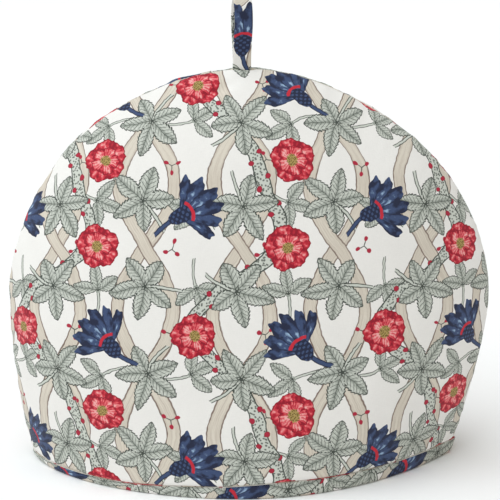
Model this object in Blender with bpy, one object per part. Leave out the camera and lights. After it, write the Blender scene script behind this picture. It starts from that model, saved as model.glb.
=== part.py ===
"""Padded dome tea cosy: two half-round panels joined along an arch, a hem band and a loop.

Metres. +Z is up from the hem, the front faces -Y, and the arch lies in the plane y = 0.
"""

import math

import bmesh
import bpy

# The seam's outline, as the cosy stands
HALF_WIDTH = 0.170
HEIGHT = 0.2815
WIDEST_AT = 0.116
HEM_LEFT = -0.1565
HEM_RIGHT = 0.1455
FLARE_LEFT = 2.2
FLARE_RIGHT = 1.5
ARCH_POWER = 1.91

# How far each panel stands out, and how round its shoulders are
DEPTH = 0.085
ROUND_LEFT = 0.62
ROUND_RIGHT = 0.93
ROUND_TOP = 0.66

# Thicknesses
WALL = 0.005
SEAM_ALLOWANCE = 0.008
SEAM_GAP = 0.0004

# The hem band: where its upper seam runs, as (x, height), and its rolled section
BAND_TOP = (
    (-0.160, 0.0055),
    (-0.095, 0.0058),
    (-0.030, 0.0085),
    (0.030, 0.0115),
    (0.150, 0.0115),
)
# Share of the wall from the outside, and height above the floor or share of the band's height
BAND_ROLL = (
    (0.00, 0.0022),
    (0.05, 0.0010),
    (0.15, 0.0003),
    (0.30, 0.0),
    (0.70, 0.0),
    (0.85, 0.0003),
    (0.95, 0.0010),
    (1.00, 0.0022),
)

# The hanging loop: a turned strip folded in two
LOOP_X = -0.0055
LOOP_WIDTH = 0.0125
LOOP_THICK = 0.0020
LOOP_EDGE = 0.0006
LOOP_TURN = math.radians(12.0)
LOOP_TURN_HEIGHT = 0.030
# Half the distance between the strands' middles, and the height above the seam
LOOP_SIDE = (
    (0.0013, -0.0060),
    (0.0013, 0.0020),
    (0.0026, 0.0090),
    (0.0048, 0.0180),
    (0.0062, 0.0280),
    (0.0058, 0.0370),
    (0.0034, 0.0430),
    (0.0000, 0.0455),
)
LOOP_STEPS = 4
POCKET_CLEAR = 0.0004

# How finely the cloth is divided
ACROSS = 36
UPWARD = 20
BAND_ACROSS = 44

COTTON = (0.86, 0.83, 0.76, 1.0)


def half_width(height, left):
    """Half the width of the seam's outline at one height, on one side."""
    if height >= HEIGHT:
        return 0.0
    if height > WIDEST_AT:
        share = (height - WIDEST_AT) / (HEIGHT - WIDEST_AT)
        return HALF_WIDTH * (1.0 - share**ARCH_POWER) ** (1.0 / ARCH_POWER)
    hem, flare = (-HEM_LEFT, FLARE_LEFT) if left else (HEM_RIGHT, FLARE_RIGHT)
    return hem + (HALF_WIDTH - hem) * (1.0 - (1.0 - height / WIDEST_AT) ** flare)


HEM_CENTRE = (HEM_LEFT + HEM_RIGHT) / 2.0


def seam_reach(angle):
    """How far the seam lies from the middle of the hem, along a ray at this angle."""
    near, far = 0.0, 2.0 * HEIGHT
    for _ in range(40):
        reach = (near + far) / 2.0
        x = HEM_CENTRE + reach * math.cos(angle)
        z = reach * math.sin(angle)
        if z < HEIGHT and abs(x) < half_width(z, x < 0.0):
            near = reach
        else:
            far = reach
    return near


RAYS = 720
SEAM = [seam_reach(math.pi * k / RAYS) for k in range(RAYS + 1)]


def seam_share(x, z, inset):
    """(how far out to the seam a point lies, 1 on the seam, and its angle)."""
    angle = min(math.pi, max(0.0, math.atan2(z, x - HEM_CENTRE)))
    place = min(RAYS - 1e-9, angle / math.pi * RAYS)
    k = int(place)
    reach = SEAM[k] + (SEAM[k + 1] - SEAM[k]) * (place - k)
    return math.hypot(x - HEM_CENTRE, z) / (reach - inset), angle


def roundness(angle):
    """The shoulder's power at this angle: low is round, high is pinched."""
    middle = (ROUND_LEFT + ROUND_RIGHT) / 2.0
    lean = (ROUND_RIGHT - ROUND_LEFT) / 2.0
    lift = ROUND_TOP - middle
    return middle + lean * math.cos(angle) + lift * math.sin(angle) ** 2


def stand_out(x, z, skin):
    """How far the cloth stands out from the arch's plane. skin is 0 outside, 1 inside."""
    share, angle = seam_share(x, z, SEAM_ALLOWANCE * skin)
    depth = DEPTH - WALL * skin
    return SEAM_GAP / 2.0 + depth * max(0.0, 1.0 - share * share) ** roundness(angle)


def band_top(x):
    """The height of the hem band's upper seam."""
    for (x0, h0), (x1, h1) in zip(BAND_TOP, BAND_TOP[1:]):
        if x <= x1:
            t = min(1.0, max(0.0, (x - x0) / (x1 - x0)))
            return h0 + (h1 - h0) * t * t * (3.0 - 2.0 * t)
    return BAND_TOP[-1][1]


def eased(share):
    """Steps that close up towards 1, where the cloth turns over to the seam."""
    return 0.45 * share + 0.55 * math.sin(math.pi / 2.0 * share)


def panel_place(u, v, skin):
    """The x and z of a point of a panel, u across and v up, both 1 on the arch."""
    px = u * math.sqrt(1.0 - v * v / 2.0)
    pz = v * math.sqrt(1.0 - u * u / 2.0)
    share, angle = min(1.0, math.hypot(px, pz)), math.atan2(pz, px)

    def at(reach):
        x = HEM_CENTRE + reach * math.cos(angle)
        low = band_top(x) + SEAM_GAP
        return x, low + reach * math.sin(angle) * (1.0 - low / HEIGHT)

    near, far = 0.0, 2.0 * HEIGHT
    for _ in range(40):
        reach = (near + far) / 2.0
        x, z = at(reach)
        if seam_share(x, z, SEAM_ALLOWANCE * skin)[0] < 1.0:
            near = reach
        else:
            far = reach
    return at(near * share)


def panel_skin(facing, skin):
    """One skin of a panel. facing is -1 for the front and 1 for the back."""
    points = []
    for j in range(UPWARD + 1):
        v = eased(j / UPWARD)
        for i in range(ACROSS + 1):
            side = 2.0 * i / ACROSS - 1.0
            u = math.copysign(eased(abs(side)), side)
            x, z = panel_place(u, v, skin)
            points.append((x, facing * stand_out(x, z, skin), z))
    return points


def quad(a, b, c, d, rising):
    """Two triangles, split along the diagonal that keeps them well shaped."""
    if rising:
        return [(a, b, c), (a, c, d)]
    return [(a, b, d), (b, c, d)]


def make_panel(name, facing):
    outer = panel_skin(facing, 0.0)
    inner = panel_skin(facing, 1.0)
    columns = ACROSS + 1
    shift = len(outer)
    faces = []
    for j in range(UPWARD):
        for i in range(ACROSS):
            a = j * columns + i
            b = a + 1
            c = a + 1 + columns
            d = a + columns
            rising = i >= ACROSS // 2
            faces += quad(a, b, c, d, rising)
            faces += [f[::-1] for f in quad(a + shift, b + shift, c + shift, d + shift, rising)]
    edge = [j * columns for j in range(UPWARD, -1, -1)]
    edge += list(range(1, columns))
    edge += [j * columns + ACROSS for j in range(1, UPWARD + 1)]
    edge += [UPWARD * columns + i for i in range(ACROSS - 1, 0, -1)]
    for k, here in enumerate(edge):
        there = edge[(k + 1) % len(edge)]
        faces += quad(here, here + shift, there + shift, there, True)
    return add_object(name, outer + inner, faces, "printed_cotton")


def band_corner(side, skin, height):
    """Where a line of the band meets the side seam."""
    near, far = HEM_CENTRE, HEM_CENTRE + side * HALF_WIDTH * 1.2
    for _ in range(40):
        x = (near + far) / 2.0
        if seam_share(x, height(x), SEAM_ALLOWANCE * skin)[0] < 1.0:
            near = x
        else:
            far = x
    return near


def make_band():
    """The strip round the hem, rolled to the inside and resting on the floor."""
    section = [(0.0, None), (0.0, 0.5)] + list(BAND_ROLL) + [(1.0, 0.5), (1.0, None)]
    rings = []
    for skin, level in section:
        if level is None:
            height = band_top
        elif level == 0.5:
            height = lambda x: 0.5 * (BAND_ROLL[0][1] + band_top(x))
        else:
            height = lambda x, low=level: low
        left, right = band_corner(-1.0, skin, height), band_corner(1.0, skin, height)
        ring = []
        for facing in (-1.0, 1.0):
            steps = range(BAND_ACROSS) if facing < 0.0 else range(BAND_ACROSS, 0, -1)
            for i in steps:
                side = 2.0 * i / BAND_ACROSS - 1.0
                u = math.copysign(eased(abs(side)), side)
                x = (left + right) / 2.0 + u * (right - left) / 2.0
                corner = i in (0, BAND_ACROSS)
                y = 0.0 if corner else facing * stand_out(x, height(x), skin)
                ring.append((x, y, height(x)))
        rings.append(ring)
    count = len(rings[0])
    points = [p for ring in rings for p in ring]
    faces = []
    for k in range(len(rings)):
        here, there = k * count, (k + 1) % len(rings) * count
        for n in range(count):
            m = (n + 1) % count
            faces += quad(here + n, here + m, there + m, there + n, True)
    return add_object("hem_band", points, faces, "hem_cotton")


def smooth_line(table, steps):
    """A smooth line through the table's points, with steps pieces between each two."""
    line = []
    last = len(table) - 1
    for k in range(last):
        p0, p1 = table[max(0, k - 1)], table[k]
        p2, p3 = table[k + 1], table[min(last, k + 2)]
        if k == last - 1:
            p3 = (-p1[0], p1[1])
        for n in range(steps):
            t = n / steps
            point = []
            for a, b, c, d in zip(p0, p1, p2, p3):
                bend = 2.0 * b + (c - a) * t + (2.0 * a - 5.0 * b + 4.0 * c - d) * t * t
                point.append(0.5 * (bend + (3.0 * b - a - 3.0 * c + d) * t**3))
            line.append(tuple(point))
    line.append(table[-1])
    return line


def make_loop():
    side = smooth_line(LOOP_SIDE, LOOP_STEPS)
    line = [(-y, z) for y, z in side] + side[-2::-1]
    w, t, e = LOOP_WIDTH / 2.0, LOOP_THICK / 2.0, LOOP_EDGE
    section = [(-w, t - e), (-w + e, t), (w - e, t), (w, t - e)]
    section += [(-x, -y) for x, y in section]
    points = []
    for k, (y, z) in enumerate(line):
        before, after = line[max(0, k - 1)], line[min(len(line) - 1, k + 1)]
        dy, dz = after[0] - before[0], after[1] - before[1]
        length = math.hypot(dy, dz)
        ny, nz = -dz / length, dy / length
        for across, out in section:
            yy = y + out * ny
            zz = z + out * nz
            share = min(1.0, max(0.0, zz / LOOP_TURN_HEIGHT))
            turn = LOOP_TURN * share * share * (3.0 - 2.0 * share)
            x = across * math.cos(turn) - yy * math.sin(turn)
            yt = across * math.sin(turn) + yy * math.cos(turn)
            points.append((LOOP_X + x, yt, HEIGHT + zz))
    count = len(section)
    faces = []
    for k in range(len(line) - 1):
        for n in range(count):
            a = k * count + n
            b = k * count + (n + 1) % count
            faces += quad(a, b, b + count, a + count, True)
    faces.append(tuple(range(count))[::-1])
    faces.append(tuple(range((len(line) - 1) * count, len(line) * count)))
    return add_object("hanging_loop", points, faces, "loop_cotton")


def add_object(name, points, faces, cloth):
    mesh = bpy.data.meshes.new(name)
    bm = bmesh.new()
    verts = [bm.verts.new(p) for p in points]
    for face in faces:
        bm.faces.new([verts[n] for n in face])
    bmesh.ops.recalc_face_normals(bm, faces=bm.faces)
    for face in bm.faces:
        face.smooth = True
    bm.to_mesh(mesh)
    bm.free()
    piece = bpy.data.objects.new(name, mesh)
    bpy.context.scene.collection.objects.link(piece)
    material = bpy.data.materials.new(f"{name}_{cloth}")
    material.use_nodes = True
    shader = material.node_tree.nodes["Principled BSDF"]
    shader.inputs["Base Color"].default_value = COTTON
    shader.inputs["Roughness"].default_value = 0.9
    mesh.materials.append(material)
    return piece


def make_pocket():
    """The space between the panels that holds the loop's two sewn-in ends."""
    across = LOOP_WIDTH / 2.0 + POCKET_CLEAR
    ends = LOOP_SIDE[0]
    through = ends[0] + LOOP_THICK / 2.0 + POCKET_CLEAR
    low = HEIGHT + ends[1] - POCKET_CLEAR
    high = HEIGHT + 0.010
    bpy.ops.mesh.primitive_cube_add(size=1.0, location=(LOOP_X, 0.0, (low + high) / 2.0))
    pocket = bpy.context.object
    pocket.name = "loop_pocket"
    pocket.scale = (2.0 * across, 2.0 * through, high - low)
    pocket.hide_render = True
    return pocket


for old in list(bpy.data.objects):
    bpy.data.objects.remove(old)

front = make_panel("front_panel", -1)
back = make_panel("back_panel", 1)
make_band()
make_loop()

pocket = make_pocket()
for panel in (front, back):
    cut = panel.modifiers.new("loop_pocket", "BOOLEAN")
    cut.operation = "DIFFERENCE"
    cut.solver = "EXACT"
    cut.object = pocket
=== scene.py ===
# %% [markdown]
# # A padded tea cosy in printed cotton
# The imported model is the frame: it fixes every size and place. Each soft piece is made again here with
# finer cloth, and takes the place of one plain solid. Everything is in metres, the front faces -Y, and
# the cosy rests on its hem at z = 0.

# %% Load the frame
import math

import bmesh
import bpy
import numpy as np
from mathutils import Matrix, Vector, noise


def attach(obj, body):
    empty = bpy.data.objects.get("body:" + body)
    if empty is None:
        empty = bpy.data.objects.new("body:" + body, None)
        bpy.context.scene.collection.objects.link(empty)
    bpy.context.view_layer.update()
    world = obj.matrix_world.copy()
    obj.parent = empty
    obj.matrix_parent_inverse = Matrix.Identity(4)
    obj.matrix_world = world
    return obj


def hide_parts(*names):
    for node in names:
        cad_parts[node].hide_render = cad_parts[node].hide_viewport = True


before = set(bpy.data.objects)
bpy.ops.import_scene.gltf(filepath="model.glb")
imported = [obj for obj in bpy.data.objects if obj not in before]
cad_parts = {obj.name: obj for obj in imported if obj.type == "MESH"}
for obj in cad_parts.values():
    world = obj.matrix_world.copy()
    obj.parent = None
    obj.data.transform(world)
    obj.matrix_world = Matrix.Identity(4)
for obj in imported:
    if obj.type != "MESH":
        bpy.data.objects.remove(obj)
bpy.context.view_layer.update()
print("frame nodes:", sorted(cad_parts))

# %% [markdown]
# ## The camera
# A small product set is seen from the front, a little above, through a long lens so that the sides of
# the cosy stay nearly parallel. The camera aims at the middle of its height.

# %% Place the camera
AIM = Vector((0.0, 0.0, 0.15))
CAMERA_AWAY = 1.1
CAMERA_RISE = math.radians(15.0)
LENS_MM, SENSOR_MM, VIEW_SHIFT = 112.75, 36.0, 0.005
camera_data = bpy.data.cameras.new("camera")
camera_data.lens = LENS_MM
camera_data.sensor_width = SENSOR_MM
camera_data.shift_y = VIEW_SHIFT
camera = bpy.data.objects.new("camera", camera_data)
bpy.context.scene.collection.objects.link(camera)
camera.location = AIM + CAMERA_AWAY * Vector((0.0, -math.cos(CAMERA_RISE), math.sin(CAMERA_RISE)))
camera.rotation_euler = (math.pi / 2.0 - CAMERA_RISE, 0.0, 0.0)
bpy.context.scene.camera = camera
print("camera at", [round(c, 3) for c in camera.location])

# %% [markdown]
# ## The floor
# The floor is one wide white sheet that fills the view, a hair below the hem so that the two don't flicker.

# %% Lay the floor
FLOOR_HALF, FLOOR_LOWER = 60.0, 0.0001
bm = bmesh.new()
bmesh.ops.create_grid(bm, x_segments=1, y_segments=1, size=FLOOR_HALF)
bmesh.ops.translate(bm, verts=bm.verts, vec=(0.0, 0.0, -FLOOR_LOWER))
floor_mesh = bpy.data.meshes.new("floor")
bm.to_mesh(floor_mesh)
bm.free()
floor = bpy.data.objects.new("floor", floor_mesh)
bpy.context.scene.collection.objects.link(floor)
floor_paper = bpy.data.materials.new("floor_paper")
floor_paper.use_nodes = True
paper = floor_paper.node_tree.nodes["Principled BSDF"]
paper.inputs["Base Color"].default_value = (0.97, 0.97, 0.97, 1.0)
paper.inputs["Roughness"].default_value = 0.9
paper.inputs["Specular IOR Level"].default_value = 0.1
floor_mesh.materials.append(floor_paper)
print("floor half width:", FLOOR_HALF)

# %% [markdown]
# ## The lights
# A pale warm sky lights everything evenly, and one very broad cool light from high on the left makes the
# left side of the cosy the brightest.

# %% Set the lights
SKY_COLOUR, SKY_STRENGTH = (1.0, 0.945, 0.875, 1.0), 0.46
LIGHT_COLOUR, LIGHT_STRENGTH = (0.885, 0.955, 1.0), 2.34
LIGHT_WIDE = math.radians(70.0)
LIGHT_TOWARDS = Vector((0.40, 0.20, -0.90))
bpy.context.scene.view_settings.view_transform = "Standard"
world = bpy.data.worlds.new("soft_sky")
bpy.context.scene.world = world
world.use_nodes = True
sky = world.node_tree.nodes["Background"]
sky.inputs["Color"].default_value = SKY_COLOUR
sky.inputs["Strength"].default_value = SKY_STRENGTH
lamp_data = bpy.data.lights.new("broad_light", "SUN")
lamp_data.energy = LIGHT_STRENGTH
lamp_data.angle = LIGHT_WIDE
lamp_data.color = LIGHT_COLOUR
lamp = bpy.data.objects.new("broad_light", lamp_data)
bpy.context.scene.collection.objects.link(lamp)
lamp.rotation_euler = LIGHT_TOWARDS.to_track_quat("-Z", "Y").to_euler()

# %% [markdown]
# ## The outline of the cosy
# The seam that joins the two panels is an arch: widest some way above the hem, drawn in a little below,
# and rounder on the left than on the right. These are the frame's own numbers and rules, and only the
# dents in the arch are new. They work on whole arrays of points here, because the cloth has many more
# points than the plain solid.

# %% The arch and how far the cloth stands out
HALF_WIDTH, HEIGHT, WIDEST_AT = 0.170, 0.2815, 0.116
HEM_LEFT, HEM_RIGHT = -0.1565, 0.1455
FLARE_LEFT, FLARE_RIGHT = 2.2, 1.5
ARCH_POWER = 1.91
DEPTH, WALL = 0.085, 0.005
ROUND_LEFT, ROUND_RIGHT, ROUND_TOP = 0.62, 0.93, 0.66
SEAM_ALLOWANCE, SEAM_GAP = 0.008, 0.0004
BAND_TOP_X = (-0.160, -0.095, -0.030, 0.030, 0.150)
BAND_TOP_HEIGHT = (0.0055, 0.0058, 0.0085, 0.0115, 0.0115)
HEM_CENTRE = (HEM_LEFT + HEM_RIGHT) / 2.0
HALVINGS = 40
RAYS = 720
# The padded edge isn't a perfect arch: (angle in degrees, spread in degrees, metres outwards)
ARCH_DENTS = ((72.0, 11.0, -0.0026), (117.0, 9.0, 0.0018), (40.0, 10.0, 0.0006))


def half_width(height, left):
    """Half the width of the arch at each height, on the left or right."""
    share = np.clip((height - WIDEST_AT) / (HEIGHT - WIDEST_AT), 0.0, 1.0)
    upper = HALF_WIDTH * (1.0 - share**ARCH_POWER) ** (1.0 / ARCH_POWER)
    hem = np.where(left, -HEM_LEFT, HEM_RIGHT)
    below = np.clip(1.0 - height / WIDEST_AT, 0.0, 1.0)
    lower = hem + (HALF_WIDTH - hem) * (1.0 - below ** np.where(left, FLARE_LEFT, FLARE_RIGHT))
    return np.where(height > WIDEST_AT, upper, lower)


def halve(low, high, is_inside):
    """The place between low and high where is_inside stops being true, for each of an array."""
    for _ in range(HALVINGS):
        middle = (low + high) / 2.0
        inside = is_inside(middle)
        low = np.where(inside, middle, low)
        high = np.where(inside, high, middle)
    return low


RAY_ANGLES = np.linspace(0.0, math.pi, RAYS + 1)


def inside_arch(reach):
    x = HEM_CENTRE + reach * np.cos(RAY_ANGLES)
    z = reach * np.sin(RAY_ANGLES)
    return (z < HEIGHT) & (np.abs(x) < half_width(z, x < 0.0))


SEAM = halve(np.zeros(RAYS + 1), np.full(RAYS + 1, 2.0 * HEIGHT), inside_arch)
for at, spread, out in ARCH_DENTS:
    SEAM = SEAM + out * np.exp(-(((np.degrees(RAY_ANGLES) - at) / spread) ** 2))


def seam_share(x, z, inset):
    """How far out to the seam each point lies, 1 on the seam, and its angle."""
    angle = np.clip(np.arctan2(z, x - HEM_CENTRE), 0.0, math.pi)
    return np.hypot(x - HEM_CENTRE, z) / (np.interp(angle, RAY_ANGLES, SEAM) - inset), angle


def stand_out(x, z, skin):
    """How far the cloth stands out from the arch's plane. skin is 0 outside, 1 inside."""
    share, angle = seam_share(x, z, SEAM_ALLOWANCE * skin)
    middle = (ROUND_LEFT + ROUND_RIGHT) / 2.0
    lean = (ROUND_RIGHT - ROUND_LEFT) / 2.0
    power = middle + lean * np.cos(angle) + (ROUND_TOP - middle) * np.sin(angle) ** 2
    return SEAM_GAP / 2.0 + (DEPTH - WALL * skin) * np.clip(1.0 - share * share, 0.0, 1.0) ** power


def band_top(x):
    """The height of the hem band's upper seam."""
    k = np.clip(np.searchsorted(BAND_TOP_X, x) - 1, 0, len(BAND_TOP_X) - 2)
    xs, heights = np.array(BAND_TOP_X), np.array(BAND_TOP_HEIGHT)
    t = np.clip((x - xs[k]) / (xs[k + 1] - xs[k]), 0.0, 1.0)
    return heights[k] + (heights[k + 1] - heights[k]) * t * t * (3.0 - 2.0 * t)


print("arch reaches", round(float(SEAM.max()), 4), "from the middle of the hem")

# %% [markdown]
# ## Writing a pattern as sums
# A printed cloth is drawn by arithmetic on its own flat coordinates. Each sum is a Math node, and a long
# pattern is easier to read as a formula than as nodes placed by hand. A Wire is one output of a node
# tree, and adding or multiplying two wires makes the node that does so.

# %% A wire that can be added and multiplied


class Wire:
    """One number, vector or colour that changes over the cloth."""

    def __init__(self, tree, socket):
        self.tree, self.socket = tree, socket

    def sum(self, operation, *values, clamp=False):
        node = self.tree.nodes.new("ShaderNodeMath")
        node.operation = operation
        node.use_clamp = clamp
        for socket, value in zip(node.inputs, (self, *values)):
            put_in(socket, value)
        return Wire(self.tree, node.outputs[0])

    def __add__(self, other):
        return self.sum("ADD", other)

    def __radd__(self, other):
        return self.sum("ADD", other)

    def __sub__(self, other):
        return self.sum("SUBTRACT", other)

    def __rsub__(self, other):
        return self.sum("MULTIPLY_ADD", -1.0, other)

    def __mul__(self, other):
        return self.sum("MULTIPLY", other)

    def __rmul__(self, other):
        return self.sum("MULTIPLY", other)

    def __truediv__(self, other):
        return self.sum("DIVIDE", other)

    def abs(self):
        return self.sum("ABSOLUTE")

    def least(self, other):
        return self.sum("MINIMUM", other)

    def most(self, other):
        return self.sum("MAXIMUM", other)

    def wrap(self, half):
        """The same place in a row of cells, each from -half to half."""
        return self.sum("WRAP", half, -half)

    def under(self, edge, soft=0.25):
        """1 where the wire is below edge, 0 above it, with a step as wide as soft."""
        return ((edge - self) / soft + 0.5).clear()

    def wave(self, length, phase=0.0):
        return (self * (2.0 * math.pi / length) + phase).sum("SINE")

    def clear(self):
        """The wire kept between 0 and 1."""
        return self.sum("MULTIPLY", 1.0, clamp=True)


def put_in(socket, value):
    """Links a wire to a socket, or sets the socket to a plain value."""
    if isinstance(value, Wire):
        value.tree.links.new(value.socket, socket)
    else:
        socket.default_value = value


def shape_node(tree, kind, values, output=0, **settings):
    """Any other node: its settings, and its inputs by name."""
    node = tree.nodes.new(kind)
    for setting, value in settings.items():
        setattr(node, setting, value)
    for label, value in values.items():
        put_in(node.inputs[label], value)
    return Wire(tree, node.outputs[output])


def join(x, y):
    return shape_node(x.tree, "ShaderNodeCombineXYZ", {"X": x, "Y": y})


def split(vector):
    node = vector.tree.nodes.new("ShaderNodeSeparateXYZ")
    put_in(node.inputs[0], vector)
    return [Wire(vector.tree, out) for out in node.outputs]


def length_of(vector):
    return shape_node(vector.tree, "ShaderNodeVectorMath", {"Vector": vector}, 1, operation="LENGTH")


def noise_over(vector, scale=1.0, detail=2.0, output=0):
    """Smooth noise round 0.5: output 0 is a number, output 1 a vector."""
    values = {"Vector": vector, "Scale": scale, "Detail": detail}
    return shape_node(vector.tree, "ShaderNodeTexNoise", values, output, noise_dimensions="2D")


def dots_over(vector, apart):
    """The way to the nearest of many scattered dots, as a share of their spacing."""
    values = {"Vector": vector, "Scale": 1.0 / apart}
    return shape_node(vector.tree, "ShaderNodeTexVoronoi", values, voronoi_dimensions="2D")


def lay_ink(mask, below, ink):
    """Covers what is below with ink where the mask is 1. Both are colours or wires."""
    node = mask.tree.nodes.new("ShaderNodeMix")
    node.data_type = "RGBA"
    put_in(node.inputs[0], mask)
    put_in(node.inputs[6], below)
    put_in(node.inputs[7], ink)
    return Wire(mask.tree, node.outputs[2])


def dye(red, green, blue):
    """A colour given as three numbers from 0 to 255, turned into light."""
    parts = [c / 255.0 for c in (red, green, blue)]
    return (*[c / 12.92 if c <= 0.04045 else ((c + 0.055) / 1.055) ** 2.4 for c in parts], 1.0)


def new_ramp(value, count):
    """A colour ramp node with this many stops, read at value."""
    ramp = value.tree.nodes.new("ShaderNodeValToRGB")
    while len(ramp.color_ramp.elements) < count:
        ramp.color_ramp.elements.new(0.5)
    put_in(ramp.inputs[0], value)
    return ramp


def look_up(key, rows):
    """One row of three numbers for each key, from a ramp with hard steps."""
    ramp = new_ramp((key + 0.5) / len(rows), len(rows))
    ramp.color_ramp.interpolation = "CONSTANT"
    for n, row in enumerate(rows):
        ramp.color_ramp.elements[n].position = n / len(rows)
        ramp.color_ramp.elements[n].color = (*row, 1.0)
    return split(Wire(key.tree, ramp.outputs[0]))


def ramp_of(value, stops):
    """A smooth run of colours: (place, colour) from 0 to 1."""
    ramp = new_ramp(value, len(stops))
    for mark, (place, colour) in zip(ramp.color_ramp.elements, stops):
        mark.position = place
        mark.color = colour
    return Wire(value.tree, ramp.outputs[0])


def new_group(name, outputs):
    """A node group that takes a place on the cloth and puts out these values."""
    tree = bpy.data.node_groups.new(name, "ShaderNodeTree")
    tree.interface.new_socket("Place", in_out="INPUT", socket_type="NodeSocketVector")
    for label, kind in outputs:
        tree.interface.new_socket(label, in_out="OUTPUT", socket_type=kind)
    inside = tree.nodes.new("NodeGroupInput")
    return tree, Wire(tree, inside.outputs[0])


def end_group(tree, values):
    end = tree.nodes.new("NodeGroupOutput")
    for label, value in values.items():
        put_in(end.inputs[label], value)


print("a Wire has", len([n for n in dir(Wire) if not n.startswith("__")]), "named sums")

# %% [markdown]
# ## The inks
# The print uses few inks on a cream ground: beige for the broad ribbons, sage for leaves and stems with
# a fine grey-green outline, crimson and rose for the flowers, and two blues. From here on, sizes in the
# print are in millimetres, and it repeats in two columns and three rows of cells.

# %% Mix the inks
CREAM = dye(241, 239, 235)
BEIGE = dye(222, 214, 200)
BEIGE_DARK = dye(206, 196, 182)
BROWN_LINE = dye(128, 110, 100)
SAGE = dye(207, 211, 202)
SAGE_DARK = dye(150, 156, 147)
GREEN_LINE = dye(72, 78, 72)
BUD = dye(176, 44, 66)
CRIMSON = dye(150, 28, 46)
RED = dye(200, 46, 62)
ROSE = dye(226, 96, 104)
PINK = dye(244, 178, 174)
OLIVE = dye(176, 152, 92)
OLIVE_DARK = dye(112, 92, 48)
NAVY = dye(39, 45, 69)
BLUE = dye(65, 81, 117)
SKY = dye(156, 184, 214)
REPEAT_X, REPEAT_Y = 130.0, 172.0
COLUMNS, ROWS = 2.0, 3.0
CELL_X, CELL_Y = REPEAT_X / COLUMNS, REPEAT_Y / ROWS
print("inks mixed; the print repeats every", REPEAT_X, "by", REPEAT_Y, "mm")

# %% [markdown]
# ## The ribbons
# Broad beige ribbons wind up the cloth and cross one another, so that they frame tall pointed ovals.
# Each ribbon is a sine wave: the distance to its middle line, made shorter where the line slopes, gives
# both the filled band and the thin brown lines along its two edges.

# %% Draw the ribbons
RIBBON_HALF, RIBBON_SWING = 4.3, 19.0
GRAIN_ACROSS, GRAIN_ALONG, EDGE_WEAR = 1.1, 0.035, 0.8
LINE = 0.42


def ribbons(x, y, ground):
    colour = ground
    for swing in (RIBBON_SWING, -RIBBON_SWING):
        middle = y.wave(REPEAT_Y) * swing
        slope = y.wave(REPEAT_Y, math.pi / 2.0) * (swing * 2.0 * math.pi / REPEAT_Y)
        away = (x - middle).wrap(CELL_X / 2.0).abs() / (slope * slope + 1.0).sum("SQRT")
        grain = noise_over(join(away * GRAIN_ACROSS, y * GRAIN_ALONG))
        fill = lay_ink(grain.under(0.5, 0.3), BEIGE, BEIGE_DARK)
        colour = lay_ink(away.under(RIBBON_HALF), colour, fill)
        edge = (away - RIBBON_HALF).abs() + (grain - 0.5) * EDGE_WEAR
        colour = lay_ink(edge.under(LINE, 0.35), colour, BROWN_LINE)
    return colour


# %% [markdown]
# ## The stems
# A thick sage stem winds up between the ribbons, speckled, outlined and set with crimson buds on its
# two edges in turn. A second wave on top of the first makes its bends uneven.

# %% Draw the stems
STEM_HALF, STEM_SWING, STEM_WOBBLE = 4.1, 27.0, 8.0
STEM_START, WOBBLE_START = 0.6, 1.9
KNOB_STEP, KNOB_START, KNOB_HALF = 23.0, 0.4, 0.5
SPECKLE_STEP, SPECKLE_SIZE, SPECKLE_INK = 2.1, 0.30, 0.85
BUD_STEP, BUD_SIZE, BUD_INSET, BUD_LINE = 8.6, 1.7, 0.2, 0.22


def stems(x, y, ground):
    turn = 2.0 * math.pi / REPEAT_Y
    middle = (
        y.wave(REPEAT_Y, STEM_START) * STEM_SWING
        + y.wave(REPEAT_Y / 2.0, WOBBLE_START) * STEM_WOBBLE
    )
    slope = (
        y.wave(REPEAT_Y, STEM_START + math.pi / 2.0) * (STEM_SWING * turn)
        + y.wave(REPEAT_Y / 2.0, WOBBLE_START + math.pi / 2.0) * (STEM_WOBBLE * 2.0 * turn)
    )
    longer = (slope * slope + 1.0).sum("SQRT")
    side = (x - middle).wrap(REPEAT_X / 2.0) / longer
    away = side.abs()
    half = y.wave(KNOB_STEP, KNOB_START) * KNOB_HALF + STEM_HALF
    body = away.under(half)
    colour = lay_ink(body, ground, SAGE)
    speckles = dots_over(join(x, y), SPECKLE_STEP).under(SPECKLE_SIZE, 0.16)
    colour = lay_ink(body * speckles * SPECKLE_INK, colour, GREEN_LINE)
    colour = lay_ink((away - half).abs().under(LINE), colour, GREEN_LINE)
    # One bud a step, on each edge in turn. The slope makes it round again on a leaning stem
    count = (y / BUD_STEP).sum("FLOOR")
    which = count.sum("FLOORED_MODULO", 2.0) * 2.0 - 1.0
    beside = side - which * (STEM_HALF - BUD_INSET)
    along = ((y / BUD_STEP).sum("FRACT") - 0.5) * BUD_STEP * longer + beside * slope
    bud = length_of(join(along, beside))
    colour = lay_ink(bud.under(BUD_SIZE, 0.5), colour, BUD)
    return lay_ink((bud - BUD_SIZE).abs().under(BUD_LINE), colour, CRIMSON)


# %% [markdown]
# ## Motifs that stand in cells
# Leaves, flowers and sprigs each stand in their own row of cells, so a motif is drawn once however often
# it comes back. A table gives each cell of the repeat its own shift and one more number, a turn or a
# switch, which hides the rows.

# %% Find a motif's own coordinates
MOTIF_SHIFT, SPRIG_SHIFT = 5.0, 3.0


def cells(x, y, start, rows, most_shift):
    """x and y from the motif's middle, and the third number of the cell's row."""
    across = x / CELL_X + start[0]
    upward = y / CELL_Y + start[1]
    column = across.sum("FLOOR").sum("FLOORED_MODULO", COLUMNS)
    row = upward.sum("FLOOR").sum("FLOORED_MODULO", ROWS)
    move_x, move_y, third = look_up(row * COLUMNS + column, rows)
    mx = (across.sum("FRACT") - 0.5) * CELL_X - (move_x - 0.5) * (2.0 * most_shift)
    my = (upward.sum("FRACT") - 0.5) * CELL_Y - (move_y - 0.5) * (2.0 * most_shift)
    return mx, my, third


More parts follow.
